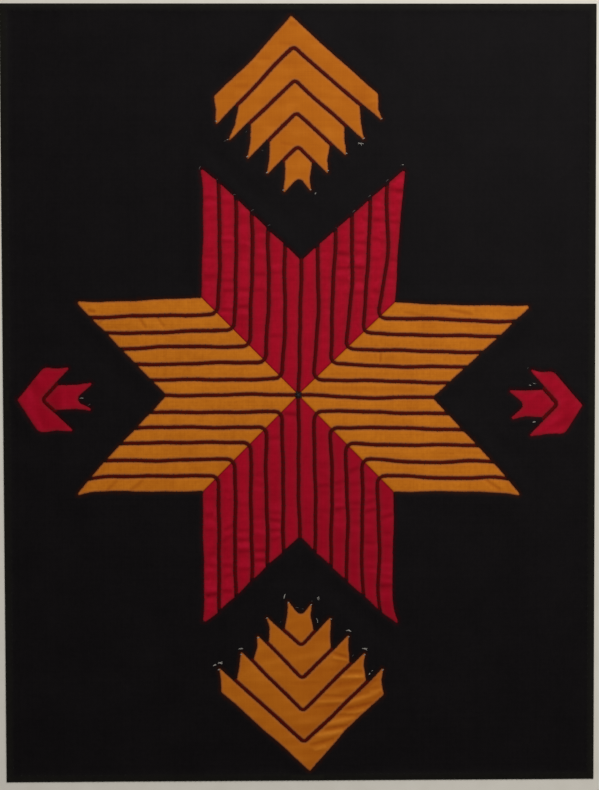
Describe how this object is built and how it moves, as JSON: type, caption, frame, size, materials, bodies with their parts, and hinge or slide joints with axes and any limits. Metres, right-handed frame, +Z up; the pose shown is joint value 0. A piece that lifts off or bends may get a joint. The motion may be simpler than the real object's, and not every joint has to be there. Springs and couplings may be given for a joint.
{
  "type": "phulkari cloth in reverse applique",
  "caption": "Flat black cotton cloth with narrow cut windows, backed by red and orange cloths that show as a striped star with chevron sprigs around it.",
  "frame": {"origin": "middle of the underside, on the surface that the cloth lies on", "axes": "+Z up out of the face, +Y towards the top of the pattern, +X to its right"},
  "size_m": [0.457, 0.6, 0.0023],
  "materials": {
    "black_cotton": "matt plain-weave cotton",
    "red_cotton": "matt plain-weave cotton",
    "orange_cotton": "matt plain-weave cotton"
  },
  "bodies": {
    "root": {"ground_cloth": "black_cotton", "star_patch_top": "red_cotton", "star_patch_left": "orange_cotton", "star_patch_bottom": "red_cotton", "star_patch_right": "orange_cotton", "sprig_patch_top": "orange_cotton", "sprig_patch_left": "red_cotton", "sprig_patch_bottom": "orange_cotton", "sprig_patch_right": "red_cotton"}
  },
  "joints": []
}
